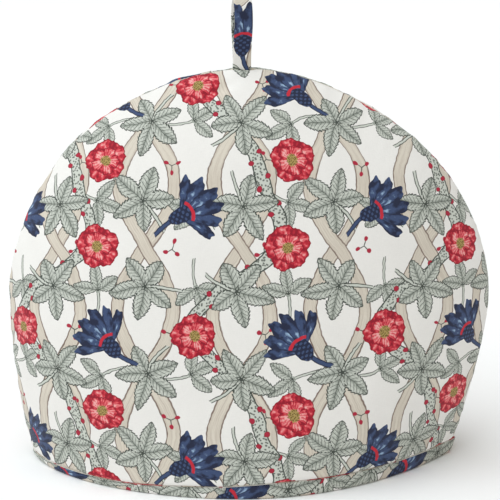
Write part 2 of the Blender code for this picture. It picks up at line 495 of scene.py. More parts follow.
def turned(x, y, angle):
    """x and y in a frame turned by this angle."""
    values = {"Vector": join(x, y), "Angle": angle}
    return split(shape_node(x.tree, "ShaderNodeVectorRotate", values, rotation_type="Z_AXIS"))[:2]


# %% [markdown]
# ## The leaves
# Every leaf is a fan of toothed leaflets on a short stalk: large ones of five, and smaller ones of three
# between them. Folding the angle round the middle turns all the leaflets into one, which is then drawn
# with its outline, midrib, side veins and a darker middle.

# %% Draw the leaves
LEAF_FAN = math.radians(66.0)
LEAFLET, LEAFLET_START, LEAFLET_WIDE, LEAFLET_LOSS = 26.5, 1.6, 18.5, 2.6
# Powers that round a leaflet's two ends, and what their product is then multiplied by
ROUND_START, ROUND_END, ROUND_SCALE = 0.75, 0.9, 1.9
TOOTH_STEP, TOOTH_DEEP = 2.7, 0.9
VEIN_STEP, VEIN_SLANT, VEIN_HALF, VEIN_INK = 3.0, 0.9, 0.09, 0.85
MIDRIB_HALF, LEAF_HEART = 0.22, 2.6
LEAF_STALK, LEAF_STALK_HALF, LEAF_STALK_BOW = 24.0, 1.1, 0.011
LEAF_ROWS = (
    (0.62, 0.40, 0.16), (0.30, 0.70, 0.61), (0.45, 0.25, 0.86),
    (0.75, 0.55, 0.30), (0.25, 0.45, 0.04), (0.55, 0.68, 0.47),
)
SMALL_LEAF_ROWS = (
    (0.30, 0.70, 0.05), (0.50, 0.05, 0.56), (0.70, 0.30, 0.41),
    (0.35, 0.60, 0.93), (0.40, 0.30, 0.72), (0.65, 0.75, 0.20),
)


def leaves(x, y, ground, start, rows, size, pairs):
    """Fans of leaflets, with this many pairs beside the middle one."""
    mx, my, third = cells(x, y, start, rows, MOTIF_SHIFT)
    lx, ly = turned(mx / size, my / size, third * (2.0 * math.pi))
    angle = ly.sum("ARCTAN2", lx)
    radius = length_of(join(lx, ly))
    leaflet = (angle / LEAF_FAN).sum("ROUND").most(-pairs).least(pairs)
    folded = angle - leaflet * LEAF_FAN
    along = radius * folded.sum("COSINE")
    across = radius * folded.sum("SINE")
    off = across.abs()
    # The leaflet's outline, which narrows at both ends, and its teeth
    long = LEAFLET - leaflet.abs() * LEAFLET_LOSS
    share = ((along - LEAFLET_START) / (long - LEAFLET_START)).clear()
    wide = share.sum("POWER", ROUND_START) * (1.0 - share).sum("POWER", ROUND_END)
    wide = wide * (ROUND_SCALE * LEAFLET_WIDE / 2.0)
    tooth = ((along / TOOTH_STEP).sum("FRACT") - 0.5) * TOOTH_DEEP
    rim = off - wide + tooth * share.under(0.97, 0.05)
    reach = along.under(long, 0.4) * along.sum("GREATER_THAN", 0.0)
    # A short stalk between two lines, bowed a little
    stalk = (ly - lx * lx * LEAF_STALK_BOW).abs()
    stalk_on = lx.sum("LESS_THAN", 0.5) * (-1.0 * lx).under(LEAF_STALK, 0.5)
    colour = lay_ink(stalk.under(LEAF_STALK_HALF) * stalk_on, ground, SAGE)
    colour = lay_ink((stalk - LEAF_STALK_HALF).abs().under(0.32) * stalk_on, colour, GREEN_LINE)
    # The leaflet, darker along its middle, then its veins and its outline
    body = (rim.under(0.0) * reach).most(radius.under(LEAF_HEART))
    colour = lay_ink(body, colour, SAGE)
    shade = noise_over(join(along * 0.30, across * 0.8), detail=1.0)
    dark = (off.under(1.3, 2.6) * 0.75 + shade.under(0.47, 0.12) * 0.45).clear()
    colour = lay_ink(body * dark, colour, SAGE_DARK)
    vein = ((along - off * VEIN_SLANT) / VEIN_STEP).sum("FRACT") - 0.5
    veins = (vein.abs().under(VEIN_HALF, 0.07) * off.under(4.6, 2.0)).most(off.under(MIDRIB_HALF))
    colour = lay_ink(body * veins * VEIN_INK, colour, GREEN_LINE)
    return lay_ink(rim.abs().under(0.44) * reach, colour, GREEN_LINE)


# %% [markdown]
# ## The sprigs
# Between the larger motifs stand tiny three-budded sprigs, crimson with grey stalks.

# %% Draw the sprigs
SPRIG_START = (0.24, 0.52)
SPRIG_HALF_STEP = math.radians(60.0)
SPRIG_STALK, SPRIG_STALK_HALF = 4.0, 0.3
SPRIG_BUD_AT, SPRIG_BUD_HALF = 4.8, 1.25
SPRIG_ROWS = (
    (0.20, 0.30, 0.10), (0.80, 0.60, 0.45), (0.35, 0.85, 0.70),
    (0.60, 0.20, 0.25), (0.15, 0.55, 0.90), (0.75, 0.75, 0.55),
)


def sprigs(x, y, ground):
    mx, my, third = cells(x, y, SPRIG_START, SPRIG_ROWS, SPRIG_SHIFT)
    sx, sy = turned(mx, my, third * (2.0 * math.pi))
    angle = sy.sum("ARCTAN2", sx)
    radius = length_of(join(sx, sy))
    folded = angle.wrap(SPRIG_HALF_STEP)
    along = radius * folded.sum("COSINE")
    across = (radius * folded.sum("SINE")).abs()
    stalk = across.under(SPRIG_STALK_HALF) * along.under(SPRIG_STALK)
    bud = length_of(join((along - SPRIG_BUD_AT) * 0.72, across * 0.95))
    colour = lay_ink(stalk, ground, GREEN_LINE)
    return lay_ink(bud.under(SPRIG_BUD_HALF, 0.3), colour, BUD)


# %% [markdown]
# ## The red flowers
# A full round flower seen from above: ruffled outer petals, a second smaller ring turned half a petal,
# pale strokes that run out from the middle, dark creases between petals, and an olive centre. The third
# number of a row is 1 where a flower stands and 0 where the cell stays empty.

# %% Draw the red flowers
FLOWER_START = (0.0, 0.5)
FLOWER_ROWS = (
    (0.35, 0.45, 1.0), (0.50, 0.50, 0.0), (0.70, 0.65, 1.0),
    (0.50, 0.50, 0.0), (0.50, 0.50, 0.0), (0.60, 0.30, 1.0),
)
FLOWER_RADIUS, INNER_RADIUS, CENTRE_RADIUS = 15.2, 10.2, 3.9
PETALS, OUTER_TURN, INNER_TURN = 5.0, 0.1, 0.6
OUTER_NOTCH, INNER_NOTCH = 7.5, 6.0
RUFFLES, RUFFLE_DEEP, STROKES = 13.0, 0.45, 24.0
OUTER_TONE, INNER_TONE = 0.40, 0.66
SEED_STEP, SEED_SIZE = 1.25, 0.34
RED_RUN = ((0.0, CRIMSON), (0.30, RED), (0.52, ROSE), (0.85, PINK))


def petals(angle, phase):
    """How far a petal's middle is, 0 there and 0.5 in the crease beside it."""
    return ((angle * (PETALS / (2.0 * math.pi)) + phase).sum("FRACT") - 0.5).abs()


def red_flowers(x, y, ground):
    mx, my, shown = cells(x, y, FLOWER_START, FLOWER_ROWS, MOTIF_SHIFT)
    angle = my.sum("ARCTAN2", mx)
    place = join(mx, my)
    radius = length_of(place)
    blotch = noise_over(place, 0.28)
    ruffle = (angle * RUFFLES + blotch * 6.0).sum("SINE") * RUFFLE_DEEP
    outer = petals(angle, OUTER_TURN)
    inner = petals(angle, INNER_TURN)
    outer_rim = radius - FLOWER_RADIUS + outer * outer * OUTER_NOTCH + ruffle
    inner_rim = radius - INNER_RADIUS + inner * inner * INNER_NOTCH - ruffle
    # Tones run from 0, crimson, to 1, pink: blotches, strokes, creases, then a darker rim
    strokes = (angle * STROKES + blotch * 9.0).sum("SINE")
    tone = OUTER_TONE + (blotch - 0.5) * 1.5 + strokes * 0.10 - outer.sum("POWER", 3.0) * 3.4
    tone = tone + (outer_rim * 0.30 + 0.6).clear() * -0.16
    tone_in = INNER_TONE + (blotch - 0.5) * 1.2 + strokes * 0.16 - inner.sum("POWER", 3.0) * 4.0
    tone_in = tone_in + (inner_rim + 2.0).clear() * -0.22
    colour = lay_ink(outer_rim.under(0.0) * shown, ground, ramp_of(tone, RED_RUN))
    colour = lay_ink(inner_rim.under(0.0) * shown, colour, ramp_of(tone_in, RED_RUN))
    colour = lay_ink(inner_rim.abs().under(0.38) * shown, colour, CRIMSON)
    colour = lay_ink(outer_rim.abs().under(LINE) * shown, colour, CRIMSON)
    middle = lay_ink(dots_over(place, SEED_STEP).under(SEED_SIZE, 0.2), OLIVE, OLIVE_DARK)
    return lay_ink((radius + ruffle).under(CENTRE_RADIUS) * shown, colour, middle)


# %% [markdown]
# ## The blue flowers
# A ragged blue flower seen from the side: a fan of long petals with split tips over a scaled cup, on a
# short curved stalk. Navy edges and sky-blue streaks give each petal its fold, and a red ring marks the
# top of the cup. Two of them stand in each repeat.

# %% Draw the blue flowers
FIRST_BLUE, SECOND_BLUE = (34.0, 112.0), (99.0, 26.0)
FIRST_TURN, MORE_TURN = -0.75, 1.9
# The petals fan out from a point this far below the flower's middle
FAN_ROOT = 12.0
FAN_LONG, FAN_HALF = 31.0, math.radians(66.0)
PETAL_FAN = math.radians(22.0)
PETAL_NOTCH, SIDE_LOSS, SPLITS, SPLIT_DEEP = 6.5, 4.0, 34.0, 0.9
CUP_AT, CUP_RADIUS, CUP_ACROSS, CUP_ALONG = 11.0, 8.2, 1.45, 0.92
RING_AT, RING_HALF = 9.4, 1.1
BLUE_STALK, BLUE_STALK_HALF, BLUE_STALK_LINE, BLUE_STALK_BOW = 33.0, 1.5, 1.4, 0.012
BLUE_RUN = ((0.0, NAVY), (0.28, BLUE), (0.48, BLUE), (0.75, SKY))


def nearest(x, y, spot):
    """x and y from the nearest of one spot's places in the repeat."""
    return (x - spot[0]).wrap(REPEAT_X / 2.0), (y - spot[1]).wrap(REPEAT_Y / 2.0)


def blue_flowers(x, y, ground):
    first_x, first_y = nearest(x, y, FIRST_BLUE)
    second_x, second_y = nearest(x, y, SECOND_BLUE)
    second = first_x.abs().sum("GREATER_THAN", REPEAT_X / 4.0)
    flower_x = first_x + (second_x - first_x) * second
    flower_y = first_y + (second_y - first_y) * second
    fx, fy = turned(flower_x, flower_y, second * MORE_TURN + FIRST_TURN)
    up = fy + FAN_ROOT
    angle = fx.sum("ARCTAN2", up)
    radius = length_of(join(fx, up))
    blotch = noise_over(join(angle * 5.0, radius * 0.16))
    tip = (((angle / PETAL_FAN).sum("FRACT") - 0.5) * 2.0).abs()
    splits = (angle * SPLITS).sum("SINE") * SPLIT_DEEP
    rim = radius - FAN_LONG + tip * tip * PETAL_NOTCH + splits + angle.abs() * SIDE_LOSS
    fan = rim.under(0.0) * angle.abs().under(FAN_HALF, 0.02) * radius.sum("GREATER_THAN", 5.0)
    # Tones run from 0, navy, to 1, sky: darker outwards, with a paler patch in the middle
    tone = 0.20 + (blotch - 0.5) * 1.4 + (1.0 - tip) * 0.30 - radius * 0.011
    patch = (radius - 15.0).abs().under(3.2, 3.0) * angle.abs().under(0.55, 0.4)
    tone = tone + patch * 0.34
    stalk = (fx - up * up * BLUE_STALK_BOW).abs()
    stalk_on = fy.sum("LESS_THAN", -16.0) * (fy * -1.0).under(BLUE_STALK, 0.5)
    colour = lay_ink(stalk.under(BLUE_STALK_HALF) * stalk_on, ground, BLUE)
    colour = lay_ink((stalk - BLUE_STALK_LINE).abs().under(0.35) * stalk_on, colour, NAVY)
    colour = lay_ink(fan, colour, ramp_of(tone, BLUE_RUN))
    between = rim.under(-0.7, 0.3) * tip.sum("GREATER_THAN", 0.88)
    colour = lay_ink(fan * between * 0.8, colour, NAVY)
    # The cup under the fan, with a red ring on top
    cup = length_of(join(fx * CUP_ACROSS, (fy + CUP_AT) * CUP_ALONG))
    scales = (fx * 1.3).sum("SINE") * (fy * 1.7).sum("SINE")
    cup_colour = lay_ink(scales.sum("GREATER_THAN", 0.25), NAVY, BLUE)
    colour = lay_ink(cup.under(CUP_RADIUS), colour, cup_colour)
    ring = (radius - RING_AT).abs().under(RING_HALF) * angle.abs().under(0.75, 0.05)
    return lay_ink(ring, colour, RED)


# %% [markdown]
# ## The whole print
# The layers go down from the ground up: ribbons, sprigs, small leaves, stems, large leaves and flowers.
# A slow and a quick wobble bend every line a little, as cut blocks and a drying cloth do.

# %% Join the print into one group
MM = 1000.0
# (millimetres from one side to the other, millimetres between one bend and the next)
WOBBLES = ((3.2, 22.0), (0.7, 3.2))
SMALL_LEAVES = ((0.0, 0.0), SMALL_LEAF_ROWS, 0.76, 1.0)
LARGE_LEAVES = ((0.5, 0.0), LEAF_ROWS, 1.0, 2.0)


def vector_sum(operation, vector, values):
    return shape_node(vector.tree, "ShaderNodeVectorMath", {0: vector, **values}, operation=operation)


garden_print, cloth_place = new_group("garden_print", (("Color", "NodeSocketColor"),))
in_mm = vector_sum("SCALE", cloth_place, {"Scale": MM})
for wobble, apart in WOBBLES:
    drift = noise_over(in_mm, 1.0 / apart, 0.0, 1)
    drift = vector_sum("SUBTRACT", drift, {1: (0.5, 0.5, 0.5)})
    drift = vector_sum("SCALE", drift, {"Scale": wobble})
    in_mm = vector_sum("ADD", in_mm, {1: drift})
print_x, print_y, _ = split(in_mm)
print_colour = ribbons(print_x, print_y, CREAM)
print_colour = sprigs(print_x, print_y, print_colour)
print_colour = leaves(print_x, print_y, print_colour, *SMALL_LEAVES)
print_colour = stems(print_x, print_y, print_colour)
print_colour = leaves(print_x, print_y, print_colour, *LARGE_LEAVES)
print_colour = red_flowers(print_x, print_y, print_colour)
print_colour = blue_flowers(print_x, print_y, print_colour)
end_group(garden_print, {"Color": print_colour})
print("the print has", len(garden_print.nodes), "nodes")

# %% [markdown]
# ## The weave
# Medium-weight plain-weave cotton: over and under threads about half a millimetre apart, with thicker
# places in some threads. It puts out a height for the bump and a faint tone for the colour: thicker threads
# a little paler, plus painted shade in the troughs of the crease bumps and painted light on their ridges.

# %% Make the weave group
THREAD = 0.00055
# Noise cells in a metre in x and y, for threads that run up and for threads that run across
SLUBS_UP, SLUBS_ACROSS = (1800.0, 260.0), (240.0, 1700.0)
CREASES = 42.0
SHADE_MIDDLE = 0.93

plain_weave, weave_place = new_group(
    "plain_weave", (("Height", "NodeSocketFloat"), ("ToneAndShade", "NodeSocketFloat"))
)
weave_x, weave_y, _ = split(weave_place)
over = weave_x.wave(2.0 * THREAD) * weave_y.wave(2.0 * THREAD)
slubs = [noise_over(join(weave_x * fx, weave_y * fy)) for fx, fy in (SLUBS_UP, SLUBS_ACROSS)]
threads = (slubs[0] + slubs[1]) * 0.5
creasing = noise_over(weave_place, CREASES, 3.0)
weave_height = over * 0.25 + threads * 0.8 + creasing * 1.6
# Thicker threads are a little paler, the cloth's own tone. The crease term is painted shade in the crease
# troughs and painted light on their ridges, from the same noise as the bump
thread_tone_and_crease_shade = SHADE_MIDDLE + threads * 0.10 + (creasing - 0.5) * 0.05
end_group(plain_weave, {"Height": weave_height, "ToneAndShade": thread_tone_and_crease_shade})
print("threads are", THREAD * MM, "mm apart")

# %% [markdown]
# ## The two cloths
# Outside is the printed cotton. Inside the cosy is a plain unbleached cotton of the same weight. Both
# are matt with a little sheen from loose fibres, and share the weave.

# %% Make the cloths


def cotton(name, pattern, plain_colour):
    """A cotton that reads its piece's own flat coordinates, printed or in one colour."""
    material = bpy.data.materials.new(name)
    material.use_nodes = True
    tree = material.node_tree
    shader = tree.nodes["Principled BSDF"]
    shader.inputs["Sheen Weight"].default_value = 0.12
    shader.inputs["Sheen Roughness"].default_value = 0.5
    shader.inputs["Specular IOR Level"].default_value = 0.25
    uv = shape_node(tree, "ShaderNodeUVMap", {}, uv_map="cloth")
    height = shape_node(tree, "ShaderNodeGroup", {"Place": uv}, "Height", node_tree=plain_weave)
    # This tint is the threads' own tone, plus painted shade and painted light along the crease bumps,
    # multiplied into the colour
    shade = Wire(tree, height.socket.node.outputs["ToneAndShade"])
    grey = shape_node(
        tree, "ShaderNodeCombineColor", {part: shade for part in ("Red", "Green", "Blue")}
    )
    colour = plain_colour
    if pattern is not None:
        colour = shape_node(tree, "ShaderNodeGroup", {"Place": uv}, node_tree=pattern)
    values = {0: 1.0, 6: colour, 7: grey}
    tint = shape_node(tree, "ShaderNodeMix", values, 2, data_type="RGBA", blend_type="MULTIPLY")
    put_in(shader.inputs["Base Color"], tint)
    put_in(shader.inputs["Roughness"], (shade - SHADE_MIDDLE) * 0.6 + 0.86)
    values = {"Strength": 0.35, "Distance": 0.00035, "Height": height}
    put_in(shader.inputs["Normal"], shape_node(tree, "ShaderNodeBump", values))
    return material


printed_cotton = cotton("printed_cotton", garden_print, None)
plain_cotton = cotton("plain_cotton", None, dye(228, 220, 204))
print("cloths:", [m.name for m in (printed_cotton, plain_cotton)])

# %% [markdown]
# ## Laying cloth on a grid
# Each piece starts as a flat grid, like a cut piece on the table, and every point is moved to its place
# on the cosy. A second grid is the inner face, and bridging their two edges closes the padded wall.
# The grid's lines close up towards the seams, where the cloth turns over.

# %% Helpers for cloth pieces
ACROSS, UPWARD = 256, 152
INNER_ACROSS, INNER_UPWARD = 64, 38
EDGE_START = 0.06


def grid_points(bm, across, upward):
    """A new grid in the bmesh, as (points, u, v) with u from -1 to 1 and v from 0 to 1."""
    made = bmesh.ops.create_grid(bm, x_segments=across, y_segments=upward, size=1.0)["verts"]
    u = np.array([p.co.x for p in made])
    v = np.array([(p.co.y + 1.0) / 2.0 for p in made])
    return made, u, v


def closer_at_ends(v):
    """Rows that close up strongly towards 1 and a little towards 0."""
    start = math.cos(math.pi * EDGE_START)
    return (start - np.cos(math.pi * (EDGE_START + (1.0 - EDGE_START) * v))) / (1.0 + start)


def smooth_step(low, high, value):
    """0 below low, 1 above high, and an S-shaped run between them."""
    t = np.clip((value - low) / (high - low), 0.0, 1.0)
    return t * t * (3.0 - 2.0 * t)


def bumps(x, y, scale_x, scale_y, layer):
    """Smooth noise at each point of two arrays. Each layer of it is another surface."""
    places = (Vector((a * scale_x, b * scale_y, layer)) for a, b in zip(x, y))
    return np.array([noise.noise(place) for place in places])


def set_cloth(bm, flat):
    """Writes each point's flat place to the UV map of every corner there."""
    layer = bm.loops.layers.uv.new("cloth")
    for face in bm.faces:
        for loop in face.loops:
            loop[layer].uv = flat[loop.vert]


def add_piece(name, bm, materials):
    """A mesh object from a bmesh, smooth shaded, at the origin."""
    mesh = bpy.data.meshes.new(name)
    bm.to_mesh(mesh)
    bm.free()
    mesh.polygons.foreach_set("use_smooth", [True] * len(mesh.polygons))
    for material in materials:
        mesh.materials.append(material)
    piece = bpy.data.objects.new(name, mesh)
    bpy.context.scene.collection.objects.link(piece)
    return piece


def open_edges(bm):
    return len([e for e in bm.edges if len(e.link_faces) != 2])


print("outer cloth has", ACROSS * UPWARD, "squares a panel")

# %% [markdown]
# ## The panels
# Front and back are like half-round pieces of printed cotton over wadding. A flat grid is folded to a
# half disc, then pushed out to the padded curve. The cloth dips into the seam along the arch, small
# puckers run away from the stitches, and the broad face rises and falls a little over the wadding.

# %% Place a panel's points
SEAM_DIP, SEAM_DIP_WIDE = 0.0018, 0.0030
HEM_DIP, HEM_DIP_WIDE = 0.0007, 0.0012
LOOP_X, LOOP_WIDTH = -0.0055, 0.0125
# How far the seam opens for the loop's ends, and how fast that fades away from the seam
LOOP_OPENING, LOOP_OPENING_FADE = 0.0024, 0.005
RUN_STEPS = 65


def panel_place(u, v, skin):
    """The x and z of each point of a panel, u across and v up, both 1 on the arch."""
    px = u * np.sqrt(1.0 - v * v / 2.0)
    pz = v * np.sqrt(1.0 - u * u / 2.0)
    share, angle = np.minimum(1.0, np.hypot(px, pz)), np.arctan2(pz, px)

    def at(reach):
        x = HEM_CENTRE + reach * np.cos(angle)
        low = band_top(x) + SEAM_GAP
        return x, low + reach * np.sin(angle) * (1.0 - low / HEIGHT)

    near = halve(
        np.zeros(len(u)),
        np.full(len(u), 2.0 * HEIGHT),
        lambda reach: seam_share(*at(reach), SEAM_ALLOWANCE * skin)[0] < 1.0,
    )
    return at(near * share)


def cloth_run(x, z):
    """Flat coordinates of each point: how far the cloth runs along a ray from the hem's middle."""
    steps = np.sin(np.linspace(0.0, math.pi / 2.0, RUN_STEPS))[:, None]
    dx, dz = (x - HEM_CENTRE) * steps, z * steps
    y = stand_out(HEM_CENTRE + dx, dz, 0.0)
    run = np.hypot(np.diff(np.hypot(dx, dz), axis=0), np.diff(y, axis=0)).sum(axis=0)
    angle = np.arctan2(z, x - HEM_CENTRE)
    return run * np.cos(angle), run * np.sin(angle)


def pinch(x, y, z):
    """Draws the cloth into the arch seam, and opens it round the loop's two ends."""
    dip = SEAM_DIP * np.exp(-((y / SEAM_DIP_WIDE) ** 2))
    away = np.hypot(x - HEM_CENTRE, z)
    x = x - dip * (x - HEM_CENTRE) / away
    z = z - dip * z / away
    beside = 1.0 - smooth_step(LOOP_WIDTH * 0.52, LOOP_WIDTH * 0.78, np.abs(x - LOOP_X))
    high = smooth_step(HEIGHT - 0.022, HEIGHT - 0.010, z)
    return x, y + LOOP_OPENING * beside * high * np.exp(-y / LOOP_OPENING_FADE), z


print("seam dip:", SEAM_DIP)

# %% [markdown]
# ## Uneven wadding
# The unevenness of a padded panel is made in three sizes. Puckers start at the stitches and fade within
# two centimetres, the wadding gives slow rises a hand's width apart, and a few places have their own
# dent where the cosy has been folded or squeezed.

# %% Unevenness of the panels
PUCKER, PUCKER_START, PUCKER_FADE = 0.0013, 0.0016, 0.013
WADDING = 0.0015
# Each dent: (x, z, half length, half width, turn in degrees, metres inwards)
FRONT_DENTS = (
    (-0.022, 0.268, 0.012, 0.0034, 24.0, 0.0024),
    (0.022, 0.271, 0.012, 0.0030, -22.0, 0.0010),
    (0.075, 0.236, 0.030, 0.012, -38.0, 0.0018),
    (0.118, 0.050, 0.016, 0.050, 8.0, 0.0016),
    (-0.100, 0.040, 0.040, 0.008, -12.0, 0.0008),
    (0.030, 0.024, 0.060, 0.007, 3.0, 0.0009),
)
BACK_DENTS = (
    (-0.060, 0.242, 0.026, 0.009, 30.0, 0.0014),
    (0.040, 0.060, 0.050, 0.010, -10.0, 0.0012),
    (-0.010, 0.262, 0.020, 0.0040, 4.0, 0.0010),
)


def unevenness(x, y, z, run, seed, dents):
    """How far each point moves along its normal. Another seed gives another surface."""
    same = np.full(len(run), seed)
    lines = bumps(run, same, 95.0, 1.0, 0.5) + 0.6 * bumps(run, same, 210.0, 1.0, 4.5)
    from_seam = np.abs(y)
    pucker = PUCKER * lines * np.exp(-from_seam / PUCKER_FADE)
    pucker = pucker * (1.0 - np.exp(-from_seam / PUCKER_START))
    swell = bumps(x, z, 13.0, 13.0, seed) + 0.4 * bumps(x, z, 31.0, 27.0, seed + 5.0)
    move = pucker + WADDING * swell * smooth_step(0.0, 0.02, from_seam)
    for dx, dz, half_x, half_z, turn, deep in dents:
        c, s = math.cos(math.radians(turn)), math.sin(math.radians(turn))
        a = ((x - dx) * c + (z - dz) * s) / half_x
        b = (-(x - dx) * s + (z - dz) * c) / half_z
        move = move - deep * np.exp(-(a * a) - b * b)
    hem = np.exp(-(((z - band_top(x) - SEAM_GAP) / HEM_DIP_WIDE) ** 2))
    settle = smooth_step(0.0, 0.006, z - band_top(x) - SEAM_GAP)
    return move * settle - HEM_DIP * hem


def arch_run(angle):
    """How far along the arch each angle lies."""
    xs, zs = SEAM * np.cos(RAY_ANGLES), SEAM * np.sin(RAY_ANGLES)
    along = np.concatenate(([0.0], np.cumsum(np.hypot(np.diff(xs), np.diff(zs)))))
    return np.interp(angle, RAY_ANGLES, along)


print("dents:", len(FRONT_DENTS), "in front,", len(BACK_DENTS), "behind")

# %% [markdown]
# ## Sewing the panels
# The front and the back differ in the side they face, their dents, the layer of noise that makes them
# uneven, and where the print starts, so that it isn't the same on both.

# %% Sew the panels


def make_panel(name, facing, seed, dents, print_start):
    bm = bmesh.new()
    outer, u, v = grid_points(bm, ACROSS, UPWARD)
    x, z = panel_place(np.sin(math.pi / 2.0 * u), closer_at_ends(v), 0.0)
    y = stand_out(x, z, 0.0)
    flat_u, flat_v = cloth_run(x, z)
    _, angle = seam_share(x, z, 0.0)
    x, y, z = pinch(x, y, z)
    for point, px, py, pz in zip(outer, x, y, z):
        point.co = (px, facing * py, pz)
    bmesh.ops.recalc_face_normals(bm, faces=bm.faces)
    if sum(face.normal.y for face in bm.faces) * facing < 0.0:
        bmesh.ops.reverse_faces(bm, faces=bm.faces)
    bm.normal_update()
    move = unevenness(x, y, z, arch_run(angle), seed, dents)
    normals = [point.normal.copy() for point in outer]
    for point, normal, step in zip(outer, normals, move):
        point.co += normal * step
    inner, iu, iv = grid_points(bm, INNER_ACROSS, INNER_UPWARD)
    ix, iz = panel_place(np.sin(math.pi / 2.0 * iu), closer_at_ends(iv), 1.0)
    iy = stand_out(ix, iz, 1.0)
    inner_u, inner_v = cloth_run(ix, iz)
    ix, iy, iz = pinch(ix, iy, iz)
    for point, px, py, pz in zip(inner, ix, iy, iz):
        point.co = (px, facing * py, pz)
    outer_faces = {f for p in outer for f in p.link_faces}
    rims = [e for e in bm.edges if e.is_boundary]
    bmesh.ops.bridge_loops(bm, edges=rims)
    bmesh.ops.recalc_face_normals(bm, faces=bm.faces)
    flat_u, flat_v = np.append(flat_u, inner_u), np.append(flat_v, inner_v)
    flat = zip(-facing * flat_u + print_start[0], flat_v + print_start[1])
    set_cloth(bm, dict(zip(outer + inner, flat)))
    for face in bm.faces:
        face.material_index = 0 if face in outer_faces else 1
    print(name, "faces:", len(bm.faces), "open edges:", open_edges(bm))
    return add_piece(name, bm, (printed_cotton, plain_cotton))


front = make_panel("front_cloth", -1.0, 3.0, FRONT_DENTS, (1.300, 1.720))
back = make_panel("back_cloth", 1.0, 11.0, BACK_DENTS, (1.352, 1.790))

# %% [markdown]
# ## The hem band
# A narrow strip of the same cloth is sewn round the lower edge and rolled to the inside, so the cosy
# rests on its fold. Its print breaks off from the panels', because it is a separate piece. One grid runs
# round the hem and round the strip's own section. Merging its doubled ends closes it round the hem. Along
# the seam the outer edge dips in by itself, which leaves a slit as deep as HEM_DIP open behind it.

# %% Sew the hem band
BAND_AROUND = 520
# Each line: (share of the wall from outside, metres above the floor, share of the way on to the seam)
BAND_SECTION = (
    (0.0, 0.0, 1.0), (0.0, 0.0030, 0.7), (0.0, 0.0030, 0.0), (0.03, 0.0014, 0.0),
    (0.10, 0.0005, 0.0), (0.22, 0.0001, 0.0), (0.35, 0.0, 0.0), (0.65, 0.0, 0.0),
    (0.78, 0.0001, 0.0), (0.90, 0.0005, 0.0), (0.97, 0.0014, 0.0), (1.0, 0.0030, 0.0),
    (1.0, 0.0, 1.0), (0.5, 0.0, 1.0), (0.0, 0.0, 1.0),
)
BAND_ROWS_EACH = 3
# The first steps of the section are the strip's outer face
OUTER_STEPS = 3.0
BAND_RIPPLE = 0.0004
# Turns a ray from the hem's middle about square to the hem, which is wider than deep
HEM_LEAN = 2.4
BAND_PRINT_PLACE = (0.043, 0.031)


def band_height(x, low, rise):
    """The height of one line of the band at x."""
    return low + rise * (band_top(x) - low)


def band_corner(side, skin, low, rise):
    """Where a line of the band meets the side, for the left (-1) or right (1)."""

    def is_inside(reach):
        x = HEM_CENTRE + side * reach
        return seam_share(x, band_height(x, low, rise), SEAM_ALLOWANCE * skin)[0] < 1.0

    reach = halve(np.zeros(1), np.full(1, HALF_WIDTH * 1.2), is_inside)
    return float(HEM_CENTRE + side * reach[0])


def band_ring(skin, low, rise, turn):
    """x, y and z round the hem for one line of the band's section. turn runs from 0 to 2."""
    left, right = band_corner(-1.0, skin, low, rise), band_corner(1.0, skin, low, rise)
    facing = np.where(turn <= 1.0, -1.0, 1.0)
    side = np.where(turn <= 1.0, 2.0 * turn - 1.0, 3.0 - 2.0 * turn)
    x = (left + right) / 2.0 + np.sin(math.pi / 2.0 * side) * (right - left) / 2.0
    z = band_height(x, low, rise)
    y = facing * (stand_out(x, z, skin) - SEAM_GAP / 2.0)
    return np.stack((x, y, z), axis=1)


def make_band():
    bm = bmesh.new()
    rows = BAND_ROWS_EACH * (len(BAND_SECTION) - 1)
    points, u, v = grid_points(bm, BAND_AROUND, rows)
    turn = u + 1.0
    place = v * (len(BAND_SECTION) - 1)
    first = np.minimum(place.astype(int), len(BAND_SECTION) - 2)
    share = (place - first)[:, None]
    order = np.round((u + 1.0) / 2.0 * BAND_AROUND).astype(int)
    even = np.linspace(0.0, 2.0, BAND_AROUND + 1)
    rings = np.array([band_ring(*line, even) for line in BAND_SECTION])
    spots = rings[first, order] * (1.0 - share) + rings[first + 1, order] * share
    around = np.concatenate(([0.0], np.cumsum(np.linalg.norm(np.diff(rings[1], axis=0), axis=1))))
    section = np.linalg.norm(np.diff(rings[:, BAND_AROUND // 4], axis=0), axis=1)
    down = np.concatenate(([0.0], np.cumsum(section)))
    flat_v = down[first] + (down[first + 1] - down[first]) * share[:, 0]
    # The outer edge at the seam turns in a little, as the panel's edge does
    below_seam = band_top(spots[:, 0]) - spots[:, 2]
    top_in = np.exp(-((below_seam / HEM_DIP_WIDE) ** 2)) * (place < OUTER_STEPS)
    lean = np.stack((spots[:, 0] - HEM_CENTRE, spots[:, 1] * HEM_LEAN, np.zeros(len(u))), axis=1)
    lean /= np.maximum(np.linalg.norm(lean, axis=1), 1e-9)[:, None]
    across, deep = spots[:, 0].copy(), spots[:, 1].copy()
    ripple = bumps(across, deep, 30.0, 30.0, 2.0) + 0.7 * bumps(across, deep, 90.0, 90.0, 7.0)
    spots -= lean * (HEM_DIP * top_in)[:, None]
    outside = (place < OUTER_STEPS) & (place > 0.0)
    spots += lean * (BAND_RIPPLE * ripple * outside)[:, None]
    for point, spot in zip(points, spots):
        point.co = spot
    flat = zip(around[order] + BAND_PRINT_PLACE[0], BAND_PRINT_PLACE[1] - flat_v)
    set_cloth(bm, dict(zip(points, flat)))
    bmesh.ops.remove_doubles(bm, verts=bm.verts, dist=0.00001)
    bmesh.ops.recalc_face_normals(bm, faces=bm.faces)
    print("hem_strip faces:", len(bm.faces), "open edges:", open_edges(bm))
    return add_piece("hem_strip", bm, (printed_cotton,))


hem_strip = make_band()

# %% [markdown]
# ## The hanging loop
# A turned strip of the same cloth is folded in two and its ends are caught in the seam at the top. It
# is swept along the loop's own line, a little cupped, with rounded edges, and turned so that the front
# half shows more than the back.

